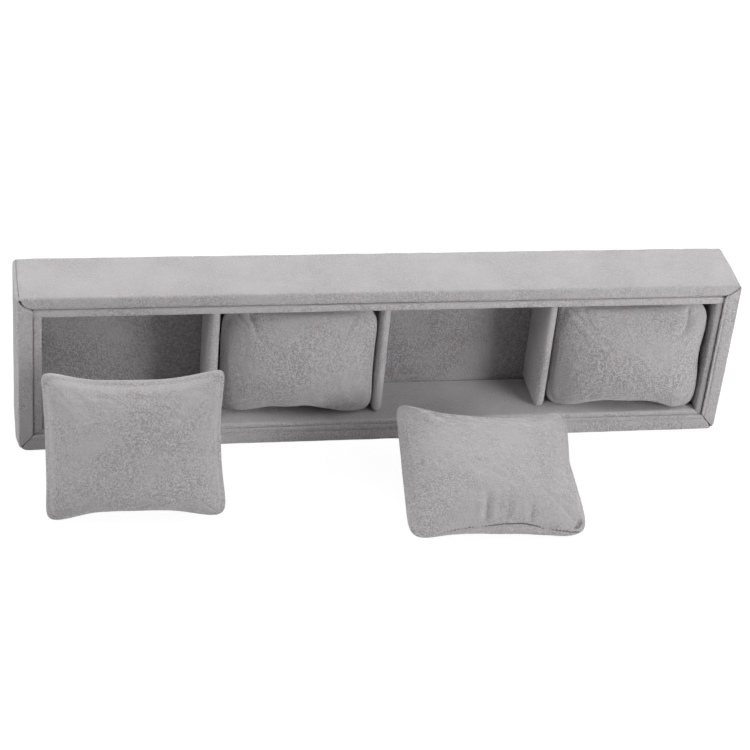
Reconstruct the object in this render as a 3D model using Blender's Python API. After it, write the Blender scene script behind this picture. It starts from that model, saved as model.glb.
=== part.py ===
"""Four-place watch storage box that stands on its long side, with four loose watch pillows.

The frame is four mitred boards, each wrapped in a padded velvet cover. A thinner covered
lining frame sits inside it behind a groove, three covered dividers stand between its long
strips, and a lining panel, a board and a cloth close the back. Two pillows are in the box
and two stand in front of it.

X runs along the box, -Y is the open front, +Z is up. The origin is the middle of the
underside of the box. Everything is in metres.
"""

import bpy
import bmesh
from math import cos, pi, radians, sin
from mathutils import Matrix, Vector

# Overall sizes of the box
BOX_LENGTH = 0.3500
BOX_HEIGHT = 0.0856
BOX_DEPTH = 0.0376
COMPARTMENTS = 4

# Clearances
SEAT_GAP = 0.0003
MITRE_GAP = 0.0002

# Outer frame: board inside a padded wrap. A fold is the radius inside a bend of the cover.
WALL_BOARD = 0.0042
WALL_COVER = 0.0010
FRONT_OUTER_FOLD = 0.0006
FRONT_INNER_FOLD = 0.0003
REAR_FOLD = 0.0002
CORNER_RADIUS = 0.0030
TOP_CROWN = 0.0005
END_CROWN = 0.0010
CROWN_FADE = 0.0120
CROWN_FULLNESS = 0.6

# Lining frame: card inside a thinner wrap, set back behind a groove
LINER_CARD = 0.0020
LINER_COVER = 0.0008
LINER_GROOVE = 0.0004
LINER_SETBACK = 0.0013
LINER_FOLD = 0.0004

# Dividers: card inside a sleeve that is open at the back
DIVIDER_CARD = 0.0022
DIVIDER_COVER = 0.0008
DIVIDER_SETBACK = 0.0065
DIVIDER_CORNER = 0.0030
DIVIDER_NOSE_RADIUS = 0.0015
POCKET_OVERRUN = 0.0050

# Back: lining panel, board and outer cloth
BACK_LINING = 0.0007
BACK_BOARD = 0.0014
BACK_CLOTH = 0.0006
BACK_CLOTH_MARGIN = 0.0020
BACK_CLOTH_CORNER = 0.0025

# Pillows in the second and last compartments, as wide and high as a compartment allows.
# The seam's place is measured from the back lining, which flattens the back bulge.
# A waist is how far the (sides, top and bottom) pull in between the corners, as a share.
PILLOW_SIDE_CLEARANCE = 0.0007
INNER_PILLOW_SEAM = 0.0203
INNER_PILLOW_FRONT_BULGE = 0.0180
INNER_PILLOW_BACK_BULGE = 0.0215
INNER_PILLOW_WAIST = (0.030, 0.120)
INNER_PILLOW_FULLNESS = 0.44

# Pillows in front of the box: size as sewn, and how far each is from the open front.
# A sink is how much of the underside lies flat on the floor.
PILLOW_WIDTH = 0.0806
PILLOW_HEIGHT = 0.0690
PILLOW_BULGE = 0.0190
PILLOW_FULLNESS = 0.50
LEFT_PILLOW_WAIST = (0.025, 0.120)
LEFT_PILLOW_FORWARD = 0.0483
LEFT_PILLOW_SINK = 0.0002
LEFT_PILLOW_LEAN = radians(75.0)
LEFT_PILLOW_TURN = radians(-3.5)
LEFT_PILLOW_SPIN = radians(2.0)
RIGHT_PILLOW_WAIST = (0.0, 0.100)
RIGHT_PILLOW_FORWARD = 0.0584
RIGHT_PILLOW_SINK = 0.0020
RIGHT_PILLOW_LEAN = radians(20.0)
RIGHT_PILLOW_TURN = radians(-2.0)
RIGHT_PILLOW_SPIN = radians(-1.2)

# Smoothness of arcs, folds and padding
ARC_STEPS = 4
FOLD_STEPS = 2
EDGE_STEPS = 3
FACE_STEPS = 6
CROWN_STEPS = 5
CORNER_STEPS = 4
PILLOW_COLUMNS = 20
PILLOW_ROWS = 16

# Sizes that follow from the ones above
WALL = WALL_BOARD + 2.0 * (WALL_COVER + SEAT_GAP)
LINER = LINER_CARD + 2.0 * (LINER_COVER + SEAT_GAP)
DIVIDER = DIVIDER_CARD + 2.0 * (DIVIDER_COVER + SEAT_GAP)
LINER_OUTSIDE = WALL + LINER_GROOVE
RIM = LINER_OUTSIDE + LINER
COMPARTMENT = (BOX_LENGTH - 2.0 * RIM - (COMPARTMENTS - 1) * DIVIDER) / COMPARTMENTS

# Depths, measured from the front face towards the back
CLOTH_FACE = BOX_DEPTH - BACK_CLOTH
WRAP_REAR = CLOTH_FACE - SEAT_GAP
BOARD_FACE = WRAP_REAR - BACK_BOARD
LINING_REAR = BOARD_FACE - SEAT_GAP
LINING_FACE = LINING_REAR - BACK_LINING
LINER_REAR = LINING_FACE - SEAT_GAP
FRONT_Y = -0.5 * BOX_DEPTH


def clear_scene():
    for thing in list(bpy.data.objects):
        bpy.data.objects.remove(thing, do_unlink=True)


def make_material(name, colour, roughness):
    material = bpy.data.materials.new(name)
    material.use_nodes = True
    shader = material.node_tree.nodes["Principled BSDF"]
    shader.inputs["Base Color"].default_value = (*colour, 1.0)
    shader.inputs["Roughness"].default_value = roughness
    shader.inputs["Metallic"].default_value = 0.0
    return material


def add_object(name, mesh, material, smooth_angle=radians(40.0)):
    thing = bpy.data.objects.new(name, mesh)
    bpy.context.scene.collection.objects.link(thing)
    mesh.materials.append(material)
    mesh.shade_smooth()
    mesh.set_sharp_from_angle(angle=smooth_angle)
    return thing


def mesh_from(bm, name):
    bmesh.ops.recalc_face_normals(bm, faces=bm.faces)
    mesh = bpy.data.meshes.new(name)
    bm.to_mesh(mesh)
    bm.free()
    return mesh


def arc(centre, radius, start, end, steps=ARC_STEPS):
    """Points of an arc in a section plane, from one angle to another, in degrees."""
    points = []
    for step in range(steps + 1):
        angle = radians(start + (end - start) * step / steps)
        points.append((centre[0] + radius * cos(angle), centre[1] + radius * sin(angle)))
    return points


def box_object(name, low, high, material):
    """A rectangular panel between two opposite corners."""
    bm = bmesh.new()
    bmesh.ops.create_cube(bm, size=1.0)
    size = Vector(high) - Vector(low)
    middle = 0.5 * (Vector(high) + Vector(low))
    for vert in bm.verts:
        vert.co = Vector(vert.co[axis] * size[axis] for axis in range(3)) + middle
    return add_object(name, mesh_from(bm, name), material)


def corner_line(inset, share):
    """Where a line of this inset runs near an outer corner, as (distance along, inset).

    share goes from 0 on the mitre to 1 at the start of the straight run. Lines near the
    surface follow the rounded corner, and deeper lines meet in a sharp mitre.
    """
    if inset >= CORNER_RADIUS:
        return inset + CORNER_RADIUS * share, inset
    radius = CORNER_RADIUS - inset
    angle = 0.25 * pi * (1.0 - share)
    return CORNER_RADIUS - radius * sin(angle), CORNER_RADIUS - radius * cos(angle)


def wall_wrap_section():
    """Section of a wall's cover as (depth, inset, crown share), round the board and back."""
    outer = WALL_COVER + FRONT_OUTER_FOLD
    inner = WALL_COVER + FRONT_INNER_FOLD
    rear = WALL_COVER + REAR_FOLD
    lap_end = WALL - WALL_COVER - SEAT_GAP
    outline = [(LINER_REAR, WALL)]
    outline += arc((inner, WALL - inner), inner, 90.0, 180.0)
    outline += arc((outer, outer), outer, 180.0, 270.0)
    padded = []
    for step in range(1, FACE_STEPS):
        share = step / FACE_STEPS
        depth = outer + (WRAP_REAR - rear - outer) * share
        padded.append((depth, 0.0, sin(pi * share) ** CROWN_FULLNESS))
    outline_rear = arc((WRAP_REAR - rear, rear), rear, 270.0, 360.0)
    outline_rear += [(WRAP_REAR, lap_end), (WRAP_REAR - WALL_COVER, lap_end)]
    outline_rear += arc((WRAP_REAR - rear, rear), REAR_FOLD, 360.0, 270.0, FOLD_STEPS)
    outline_rear += arc((outer, outer), FRONT_OUTER_FOLD, 270.0, 180.0, FOLD_STEPS)
    outline_rear += arc((inner, WALL - inner), FRONT_INNER_FOLD, 180.0, 90.0, FOLD_STEPS)
    outline_rear += [(LINER_REAR, WALL - WALL_COVER)]
    flat = [(depth, inset, 0.0) for depth, inset in outline]
    flat_rear = [(depth, inset, 0.0) for depth, inset in outline_rear]
    return flat + padded + flat_rear


def wall_board_section():
    front = WALL_COVER + SEAT_GAP
    rear = WRAP_REAR - WALL_COVER - SEAT_GAP
    return rectangle_section(front, rear, front, front + WALL_BOARD)


def liner_wrap_section():
    """Section of a lining strip's cover: a fold over the card's front edge, open behind."""
    nose = LINER_COVER + LINER_FOLD
    front = LINER_SETBACK
    low = LINER_OUTSIDE
    high = RIM
    outline = [(LINER_REAR, high)]
    outline += arc((front + nose, high - nose), nose, 90.0, 180.0)
    outline += arc((front + nose, low + nose), nose, 180.0, 270.0)
    outline += [(LINER_REAR, low), (LINER_REAR, low + LINER_COVER)]
    outline += arc((front + nose, low + nose), LINER_FOLD, 270.0, 180.0, FOLD_STEPS)
    outline += arc((front + nose, high - nose), LINER_FOLD, 180.0, 90.0, FOLD_STEPS)
    outline += [(LINER_REAR, high - LINER_COVER)]
    return [(depth, inset, 0.0) for depth, inset in outline]


def liner_card_section():
    front = LINER_SETBACK + LINER_COVER + SEAT_GAP
    low = LINER_OUTSIDE + LINER_COVER + SEAT_GAP
    return rectangle_section(front, LINER_REAR, low, low + LINER_CARD)


def rectangle_section(front, rear, low, high):
    return [(rear, high, 0.0), (front, high, 0.0), (front, low, 0.0), (rear, low, 0.0)]


def side_frame(side):
    """Outward direction, outer face's middle at the front, and half length of one side."""
    half_length = 0.5 * BOX_LENGTH
    half_height = 0.5 * BOX_HEIGHT
    if side == "top":
        return Vector((0, 0, 1)), Vector((0, FRONT_Y, BOX_HEIGHT)), half_length
    if side == "bottom":
        return Vector((0, 0, -1)), Vector((0, FRONT_Y, 0)), half_length
    if side == "left":
        return Vector((-1, 0, 0)), Vector((-half_length, FRONT_Y, half_height)), half_height
    return Vector((1, 0, 0)), Vector((half_length, FRONT_Y, half_height)), half_height


def mitred_strip(name, side, section, crown, material):
    """A section run along one side of the box, with both ends cut on the mitre.

    Each station is (corner share, distance past the corner). The crown of the padding
    rises from nothing at the corner to its full height past the fade.
    """
    outward, middle, half_span = side_frame(side)
    depthward = Vector((0, 1, 0))
    along = depthward.cross(outward)
    reaches_corner = min(inset for depth, inset, padding in section) < CORNER_RADIUS
    corner_steps = CORNER_STEPS if reaches_corner else 0
    stations = [(step / CORNER_STEPS, 0.0) for step in range(corner_steps + 1)]
    if crown > 0.0:
        stations += [(1.0, CROWN_FADE * (step + 1) / CROWN_STEPS) for step in range(CROWN_STEPS)]
    ends = [(-1.0, *station) for station in stations]
    ends += [(1.0, *station) for station in reversed(stations)]
    bm = bmesh.new()
    rings = []
    for end, share, distance in ends:
        swell = crown * sin(0.5 * pi * distance / CROWN_FADE)
        ring = []
        for depth, inset, padding in section:
            start, sunk = corner_line(inset, share)
            reach = end * (half_span - start - MITRE_GAP - distance)
            drop = sunk - swell * padding
            ring.append(bm.verts.new(middle + along * reach - outward * drop + depthward * depth))
        rings.append(ring)
    count = len(section)
    for first, second in zip(rings, rings[1:]):
        for index in range(count):
            after = (index + 1) % count
            bm.faces.new((first[index], first[after], second[after], second[index]))
    bm.faces.new(rings[0])
    bm.faces.new(reversed(rings[-1]))
    return add_object(name, mesh_from(bm, name), material)


def rounded_plate(thickness, front, rear, low, high, corner, edge):
    """Upright plate across X with rounded front corners, and softened front edges."""
    bm = bmesh.new()
    outline = [(rear, low)]
    outline += arc((front + corner, low + corner), corner, 270.0, 180.0)
    outline += arc((front + corner, high - corner), corner, 180.0, 90.0)
    outline += [(rear, high)]
    left = [bm.verts.new((-0.5 * thickness, depth, height)) for depth, height in outline]
    right = [bm.verts.new((0.5 * thickness, depth, height)) for depth, height in outline]
    count = len(outline)
    for index in range(count):
        after = (index + 1) % count
        bm.faces.new((left[index], left[after], right[after], right[index]))
    bm.faces.new(reversed(left))
    bm.faces.new(right)
    rims = []
    for ring in (left, right):
        for first, second in zip(ring, ring[1:]):
            rims.append(bm.edges.get((first, second)))
    if edge > 0.0:
        bmesh.ops.bevel(
            bm,
            geom=rims,
            offset=edge,
            segments=EDGE_STEPS,
            profile=0.5,
            affect="EDGES",
            clamp_overlap=True,
        )
    return bm


def divider_centre(index):
    return -0.5 * BOX_LENGTH + RIM + (index + 1) * COMPARTMENT + (index + 0.5) * DIVIDER


def compartment_centre(index):
    return -0.5 * BOX_LENGTH + RIM + (index + 0.5) * COMPARTMENT + index * DIVIDER


def make_divider(index, cover_material, card_material, guide_material):
    """Covered divider: a rounded sleeve, open at the back, over a plain card."""
    front = FRONT_Y + DIVIDER_SETBACK
    rear = FRONT_Y + LINER_REAR
    low = RIM + SEAT_GAP
    high = BOX_HEIGHT - RIM - SEAT_GAP
    place = Matrix.Translation((divider_centre(index), 0.0, 0.0))

    name = f"divider_{index + 1}_cover"
    sleeve_bm = rounded_plate(DIVIDER, front, rear, low, high, DIVIDER_CORNER, DIVIDER_NOSE_RADIUS)
    bmesh.ops.transform(sleeve_bm, matrix=place, verts=sleeve_bm.verts)
    sleeve = add_object(name, mesh_from(sleeve_bm, name), cover_material)

    name = f"divider_{index + 1}_pocket_guide"
    corner = DIVIDER_CORNER - DIVIDER_COVER
    inner = DIVIDER - 2.0 * DIVIDER_COVER
    cover = DIVIDER_COVER
    past_rear = rear + POCKET_OVERRUN
    pocket_bm = rounded_plate(
        inner, front + cover, past_rear, low + cover, high - cover, corner, 0.0
    )
    bmesh.ops.transform(pocket_bm, matrix=place, verts=pocket_bm.verts)
    pocket = add_object(name, mesh_from(pocket_bm, name), guide_material)
    pocket.hide_render = True
    pocket.display_type = "WIRE"
    cut = sleeve.modifiers.new("Pocket", "BOOLEAN")
    cut.operation = "DIFFERENCE"
    cut.solver = "EXACT"
    cut.object = pocket

    name = f"divider_{index + 1}_card"
    inset = DIVIDER_COVER + SEAT_GAP
    card_bm = rounded_plate(
        DIVIDER_CARD, front + inset, rear, low + inset, high - inset, DIVIDER_CORNER - inset, 0.0
    )
    bmesh.ops.transform(card_bm, matrix=place, verts=card_bm.verts)
    add_object(name, mesh_from(card_bm, name), card_material)


def make_back(lining_material, board_material, cloth_material):
    """Lining panel and board inside the frame's boards, and a cloth over the whole back."""
    inset = WALL_COVER + WALL_BOARD + 2.0 * SEAT_GAP
    half = 0.5 * BOX_LENGTH - inset
    low = inset
    high = BOX_HEIGHT - inset
    box_object(
        "back_lining_panel",
        (-half, FRONT_Y + LINING_FACE, low),
        (half, FRONT_Y + LINING_REAR, high),
        lining_material,
    )
    box_object(
        "back_board",
        (-half, FRONT_Y + BOARD_FACE, low),
        (half, FRONT_Y + WRAP_REAR, high),
        board_material,
    )
    name = "back_cloth"
    bm = bmesh.new()
    reach_x = 0.5 * BOX_LENGTH - BACK_CLOTH_MARGIN - BACK_CLOTH_CORNER
    low = BACK_CLOTH_MARGIN + BACK_CLOTH_CORNER
    high = BOX_HEIGHT - BACK_CLOTH_MARGIN - BACK_CLOTH_CORNER
    outline = arc((reach_x, high), BACK_CLOTH_CORNER, 0.0, 90.0)
    outline += arc((-reach_x, high), BACK_CLOTH_CORNER, 90.0, 180.0)
    outline += arc((-reach_x, low), BACK_CLOTH_CORNER, 180.0, 270.0)
    outline += arc((reach_x, low), BACK_CLOTH_CORNER, 270.0, 360.0)
    face = bm.faces.new([bm.verts.new((x, FRONT_Y + CLOTH_FACE, z)) for x, z in outline])
    grown = bmesh.ops.extrude_face_region(bm, geom=[face])
    moved = [item for item in grown["geom"] if isinstance(item, bmesh.types.BMVert)]
    bmesh.ops.translate(bm, vec=(0.0, BACK_CLOTH, 0.0), verts=moved)
    add_object(name, mesh_from(bm, name), cloth_material)


def pillow_points(size, waist, fullness, place):
    """Points of a stuffed pillow's front and back faces, which share the points of its seam.

    size is (width, height, front bulge, back bulge) and place puts the upright pillow
    where it belongs. The rows and columns crowd towards the seam, where the faces turn.
    """
    width, height, front_bulge, back_bulge = size
    side_waist, end_waist = waist
    points = {}
    for column in range(PILLOW_COLUMNS + 1):
        u = sin(0.5 * pi * (2.0 * column / PILLOW_COLUMNS - 1.0))
        for row in range(PILLOW_ROWS + 1):
            v = sin(0.5 * pi * (2.0 * row / PILLOW_ROWS - 1.0))
            x = 0.5 * width * u * (1.0 - side_waist * (1.0 - v * v) * u * u)
            z = 0.5 * height * v * (1.0 - end_waist * (1.0 - u * u) * v * v)
            swell = max((1.0 - u * u) * (1.0 - v * v), 0.0) ** fullness
            points["front", column, row] = place @ Vector((x, -front_bulge * swell, z))
            if 0 < column < PILLOW_COLUMNS and 0 < row < PILLOW_ROWS:
                points["back", column, row] = place @ Vector((x, back_bulge * swell, z))
    return points


def pillow_object(name, points, material):
    bm = bmesh.new()
    verts = {spot: bm.verts.new(point) for spot, point in points.items()}
    for face in ("front", "back"):
        for column in range(PILLOW_COLUMNS):
            for row in range(PILLOW_ROWS):
                loop = []
                for across, up in ((0, 0), (1, 0), (1, 1), (0, 1)):
                    seam = verts["front", column + across, row + up]
                    loop.append(verts.get((face, column + across, row + up), seam))
                bm.faces.new(loop)
    bmesh.ops.triangulate(bm, faces=bm.faces)
    return add_object(name, mesh_from(bm, name), material)


def make_inner_pillow(index, material):
    """A pillow squeezed into a compartment, flat against the lining behind it."""
    inner_height = BOX_HEIGHT - 2.0 * (RIM + SEAT_GAP)
    inner_width = COMPARTMENT - 2.0 * PILLOW_SIDE_CLEARANCE
    size = (inner_width, inner_height, INNER_PILLOW_FRONT_BULGE, INNER_PILLOW_BACK_BULGE)
    back_limit = FRONT_Y + LINER_REAR
    seam_y = back_limit - INNER_PILLOW_SEAM
    place = Matrix.Translation((compartment_centre(index), seam_y, 0.5 * BOX_HEIGHT))
    points = pillow_points(size, INNER_PILLOW_WAIST, INNER_PILLOW_FULLNESS, place)
    for point in points.values():
        point.y = min(point.y, back_limit)
    pillow_object(f"pillow_in_compartment_{index + 1}", points, material)


def make_loose_pillow(name, index, waist, forward, sink, angles, material):
    """A pillow taken out of a compartment and stood on the floor in front of it.

    angles are its lean back from flat, its turn about the vertical and its spin in its
    own plane.
    """
    lean, turn, spin = angles
    place = (
        Matrix.Translation((compartment_centre(index), FRONT_Y - forward, 0.0))
        @ Matrix.Rotation(turn, 4, "Z")
        @ Matrix.Rotation(lean - 0.5 * pi, 4, "X")
        @ Matrix.Rotation(-spin, 4, "Y")
    )
    size = (PILLOW_WIDTH, PILLOW_HEIGHT, PILLOW_BULGE, PILLOW_BULGE)
    points = pillow_points(size, waist, PILLOW_FULLNESS, place)
    drop = min(point.z for point in points.values()) + sink
    for point in points.values():
        point.z = max(point.z - drop, 0.0)
    pillow_object(name, points, material)


def make_pillows(material):
    make_inner_pillow(1, material)
    make_inner_pillow(COMPARTMENTS - 1, material)
    make_loose_pillow(
        "pillow_front_left",
        0,
        LEFT_PILLOW_WAIST,
        LEFT_PILLOW_FORWARD,
        LEFT_PILLOW_SINK,
        (LEFT_PILLOW_LEAN, LEFT_PILLOW_TURN, LEFT_PILLOW_SPIN),
        material,
    )
    make_loose_pillow(
        "pillow_front_right",
        COMPARTMENTS - 2,
        RIGHT_PILLOW_WAIST,
        RIGHT_PILLOW_FORWARD,
        RIGHT_PILLOW_SINK,
        (RIGHT_PILLOW_LEAN, RIGHT_PILLOW_TURN, RIGHT_PILLOW_SPIN),
        material,
    )


def make_frames(cover_material, liner_material, board_material, card_material):
    crowns = {"top": TOP_CROWN, "bottom": 0.0, "left": END_CROWN, "right": END_CROWN}
    for side, crown in crowns.items():
        mitred_strip(f"{side}_wall_board", side, wall_board_section(), 0.0, board_material)
        mitred_strip(f"{side}_wall_cover", side, wall_wrap_section(), crown, cover_material)
        mitred_strip(f"{side}_liner_card", side, liner_card_section(), 0.0, card_material)
        mitred_strip(f"{side}_liner_cover", side, liner_wrap_section(), 0.0, liner_material)


def main():
    clear_scene()
    cover = make_material("wall_velvet", (0.46, 0.45, 0.46), 0.95)
    liner = make_material("liner_velvet", (0.44, 0.43, 0.44), 0.95)
    divider = make_material("divider_velvet", (0.43, 0.42, 0.44), 0.95)
    pillow = make_material("pillow_velvet", (0.45, 0.44, 0.46), 0.95)
    cloth = make_material("back_velvet", (0.45, 0.44, 0.45), 0.95)
    board = make_material("fibreboard", (0.36, 0.26, 0.17), 0.85)
    card = make_material("grey_card", (0.38, 0.36, 0.33), 0.90)
    guide = make_material("guide", (0.8, 0.2, 0.2), 0.80)
    make_frames(cover, liner, board, card)
    for index in range(COMPARTMENTS - 1):
        make_divider(index, divider, card, guide)
    make_back(liner, board, cloth)
    make_pillows(pillow)


main()
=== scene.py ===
from math import cos, pi, radians, sin, sqrt

import bmesh
import bpy
import numpy as np
from mathutils import Matrix, Vector, noise


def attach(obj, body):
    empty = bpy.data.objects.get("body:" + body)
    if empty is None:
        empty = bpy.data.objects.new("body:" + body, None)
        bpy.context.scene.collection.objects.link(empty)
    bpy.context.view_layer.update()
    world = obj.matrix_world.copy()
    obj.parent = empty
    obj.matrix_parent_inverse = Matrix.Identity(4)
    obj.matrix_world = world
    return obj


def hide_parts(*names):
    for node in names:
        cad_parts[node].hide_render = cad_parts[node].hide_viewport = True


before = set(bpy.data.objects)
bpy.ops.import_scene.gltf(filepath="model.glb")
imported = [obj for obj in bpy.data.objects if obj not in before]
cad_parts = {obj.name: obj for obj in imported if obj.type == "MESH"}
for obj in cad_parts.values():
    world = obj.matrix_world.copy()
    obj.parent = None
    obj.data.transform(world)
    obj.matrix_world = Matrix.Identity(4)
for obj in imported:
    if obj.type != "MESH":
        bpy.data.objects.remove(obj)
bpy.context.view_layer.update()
scene = bpy.context.scene

# Sizes of the box, as in the CAD
HALF_LENGTH = 0.175
HEIGHT = 0.0856
HALF_HEIGHT = 0.5 * HEIGHT
FRONT_Y = -0.0188
WALL = 0.0068
LINER = 0.0042
LINER_OUTSIDE = 0.0072
RIM = 0.0114
LINER_SETBACK = 0.0013
LINER_REAR = 0.034
WRAP_REAR = 0.0367
LAP_END = 0.0055
DIVIDER = 0.0044
COMPARTMENT = 0.0785
COVER = 0.001
LINER_COVER = 0.0008

# The photograph's camera, in the part's frame
CAMERA_PLACE = Vector((-0.1982, -0.8512, 0.5991))
CAMERA_YAW = 0.229
CAMERA_PITCH = 0.58033
CAMERA_ROLL = 0.101
FOCAL_PIXELS = 2110.4
IMAGE_PIXELS = 750.0
SENSOR_MM = 36.0


def body_piece(obj, slot, *nodes):
    """A piece that rides on the box and stands for the CAD nodes that are named."""
    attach(obj, "root")
    if nodes:
        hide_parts(*nodes)


def grid_object(name, points, faces, material, weld=False):
    """A smooth object in the scene, from its points and faces, with its faces turned outwards."""
    mesh = bpy.data.meshes.new(name)
    mesh.from_pydata([tuple(point) for point in points], [], faces)
    work = bmesh.new()
    work.from_mesh(mesh)
    if weld:
        bmesh.ops.remove_doubles(work, verts=work.verts, dist=1e-6)
    bmesh.ops.recalc_face_normals(work, faces=work.faces)
    work.to_mesh(mesh)
    work.free()
    mesh.materials.append(material)
    obj = bpy.data.objects.new(name, mesh)
    scene.collection.objects.link(obj)
    mesh.shade_smooth()
    return obj


# Materials

# Noise scales of the velvet per metre, from single tufts to patches of brushed nap
PILE_SCALE = 1350.0
TUFT_SCALE = 860.0
MOTTLE_SCALE = 190.0
PATCH_SCALE = 38.0


def new_material(name):
    """A material with its nodes and its links."""
    material = bpy.data.materials.new(name)
    material.use_nodes = True
    return material, material.node_tree.nodes, material.node_tree.links


def new_node(nodes, kind, values):
    """A shader node with values for its named inputs."""
    node = nodes.new(kind)
    for name, value in values.items():
        node.inputs[name].default_value = value
    return node


def velvet(name, dark, light, speckle=0.55, nap=0.5, seed=0.0, sheen=0.9, grain=1.0):
    """Short-pile velvet: fine speckle, mottling and broad nap patches over a soft sheen."""
    material, nodes, links = new_material(name)
    shader = nodes["Principled BSDF"]
    shader.inputs["Roughness"].default_value = 0.95
    shader.inputs["Sheen Weight"].default_value = sheen
    shader.inputs["Sheen Roughness"].default_value = 0.3
    shader.inputs["Specular IOR Level"].default_value = 0.15
    place = nodes.new("ShaderNodeTexCoord")
    location = (seed, 0.37 * seed, 0.71 * seed)
    shift = new_node(nodes, "ShaderNodeMapping", {"Location": location})
    links.new(place.outputs["Object"], shift.inputs["Vector"])

    def noise_node(scale, detail, roughness):
        values = {"Scale": scale, "Detail": detail, "Roughness": roughness}
        node = new_node(nodes, "ShaderNodeTexNoise", values)
        links.new(shift.outputs["Vector"], node.inputs["Vector"])
        return node

    def math_node(operation, first, second):
        node = nodes.new("ShaderNodeMath")
        node.operation = operation
        for socket, value in zip(node.inputs, (first, second)):
            if isinstance(value, float):
                socket.default_value = value
            else:
                links.new(value, socket)
        return node.outputs[0]

    def swing(texture, gain):
        centred = math_node("SUBTRACT", texture.outputs["Fac"], 0.5)
        return math_node("MULTIPLY", centred, gain)

    pile = noise_node(PILE_SCALE * grain, 1.0, 0.5)
    tufts = noise_node(TUFT_SCALE * grain, 2.0, 0.6)
    mottle = noise_node(MOTTLE_SCALE, 3.0, 0.6)
    patches = noise_node(PATCH_SCALE, 2.0, 0.5)
    # Painted light: the speckle is faded on faces that look up, where the light from overhead washes the
    # pile out; elsewhere it is strong where the nap lies dark
    facing = nodes.new("ShaderNodeSeparateXYZ")
    links.new(place.outputs["Normal"], facing.inputs[0])
    level = math_node("MULTIPLY", math_node("MAXIMUM", facing.outputs["Z"], 0.0), -0.65)
    zone = math_node("MULTIPLY", math_node("SUBTRACT", 0.72, patches.outputs["Fac"]), 4.5)
    zone = math_node("MAXIMUM", math_node("MINIMUM", zone, 1.7), 0.25)
    zone = math_node("MULTIPLY", zone, math_node("ADD", level, 1.0))
    fine = swing(pile, 2.8 * speckle)
    coarse = swing(tufts, 1.9 * speckle)
    total = math_node("MULTIPLY", math_node("ADD", fine, coarse), zone)
    for part in (swing(mottle, 0.7 * nap), swing(patches, 1.3 * nap), 0.5):
        total = math_node("ADD", total, part)
    blend = nodes.new("ShaderNodeMix")
    blend.data_type = "RGBA"
    blend.clamp_factor = True
    blend.inputs["A"].default_value = (*dark, 1.0)
    blend.inputs["B"].default_value = (*light, 1.0)
    links.new(total, blend.inputs["Factor"])
    links.new(blend.outputs["Result"], shader.inputs["Base Color"])
    bump = new_node(nodes, "ShaderNodeBump", {"Strength": 0.8, "Distance": 0.0006})
    links.new(pile.outputs["Fac"], bump.inputs["Height"])
    links.new(bump.outputs["Normal"], shader.inputs["Normal"])
    return material


def board_material(name, dark, light, scale, stretch):
    """Raw board: flecks that are drawn out along one direction."""
    material, nodes, links = new_material(name)
    shader = nodes["Principled BSDF"]
    shader.inputs["Roughness"].default_value = 0.85
    place = nodes.new("ShaderNodeTexCoord")
    shift = new_node(nodes, "ShaderNodeMapping", {"Scale": stretch})
    links.new(place.outputs["Object"], shift.inputs["Vector"])
    flecks = new_node(nodes, "ShaderNodeTexNoise", {"Scale": scale, "Detail": 4.0})
    links.new(shift.outputs["Vector"], flecks.inputs["Vector"])
    ramp = nodes.new("ShaderNodeValToRGB")
    ramp.color_ramp.elements[0].position = 0.35
    ramp.color_ramp.elements[0].color = (*dark, 1.0)
    ramp.color_ramp.elements[1].position = 0.65
    ramp.color_ramp.elements[1].color = (*light, 1.0)
    links.new(flecks.outputs["Fac"], ramp.inputs["Fac"])
    links.new(ramp.outputs["Color"], shader.inputs["Base Color"])
    bump = new_node(nodes, "ShaderNodeBump", {"Strength": 0.3, "Distance": 0.0003})
    links.new(flecks.outputs["Fac"], bump.inputs["Height"])
    links.new(bump.outputs["Normal"], shader.inputs["Normal"])
    return material


DARK = (0.378, 0.358, 0.37)
LIGHT = (0.592, 0.57, 0.584)


def grey_velvet(name, dark, light, **traits):
    """The box's grey velvet, with factors on the colours of its dark and its light nap, set piece by piece
    as painted light and shade.
    """
    dark_nap = tuple(dark * value for value in DARK)
    light_nap = tuple(light * value for value in LIGHT)
    return velvet(name, dark_nap, light_nap, **traits)


# Painted light and shade: each piece's velvet is a lighter or darker copy of the same cloth, matched to how
# bright it stands in its light; the liner, walls and dividers are lit copies, the pillows slightly shaded
# ones
wall_velvet = grey_velvet("wall_velvet_look", 1.04, 1.04, seed=1.3, speckle=0.65)
liner_velvet = grey_velvet("liner_velvet_look", 1.1, 1.1, seed=4.1)
# Painted shade: the right lining strip's face turns away from the light, so its velvet is a darker copy
shaded_right_liner_velvet = grey_velvet("right_liner_velvet_look", 0.8, 0.8, seed=3.2, sheen=0.3)
divider_velvet = grey_velvet("divider_velvet_look", 1.06, 1.06, seed=6.7)
# Painted shade: the back lining lies in the compartments' shade, so its velvet is a darker copy
shaded_lining_velvet = grey_velvet("shaded_lining_velvet_look", 0.8, 0.8, seed=8.9, nap=0.9, speckle=0.8)
pillow_velvet = grey_velvet("pillow_velvet_look", 0.94, 0.96, seed=2.9, speckle=0.95)
back_velvet = grey_velvet("back_velvet_look", 1.0, 1.0, seed=5.3)
THREAD_DARK = (0.11, 0.1, 0.11)
THREAD_LIGHT = (0.22, 0.2, 0.21)
thread_look = velvet("thread_look", THREAD_DARK, THREAD_LIGHT, seed=7.7, sheen=0.1, grain=2.0)
fibreboard = board_material("fibreboard_look", (0.2, 0.13, 0.08), (0.36, 0.26, 0.17), 900.0, (1, 1, 3))
grey_card = board_material("grey_card_look", (0.3, 0.28, 0.26), (0.44, 0.42, 0.39), 1200.0, (1, 2, 1))


# Covers of the walls and the lining strips

# How far each wall's front fold reaches inwards; below and on the right it overhangs the groove
LIPS = {"top": 0.0067, "bottom": 0.0091, "left": 0.0072, "right": 0.0078}
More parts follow.
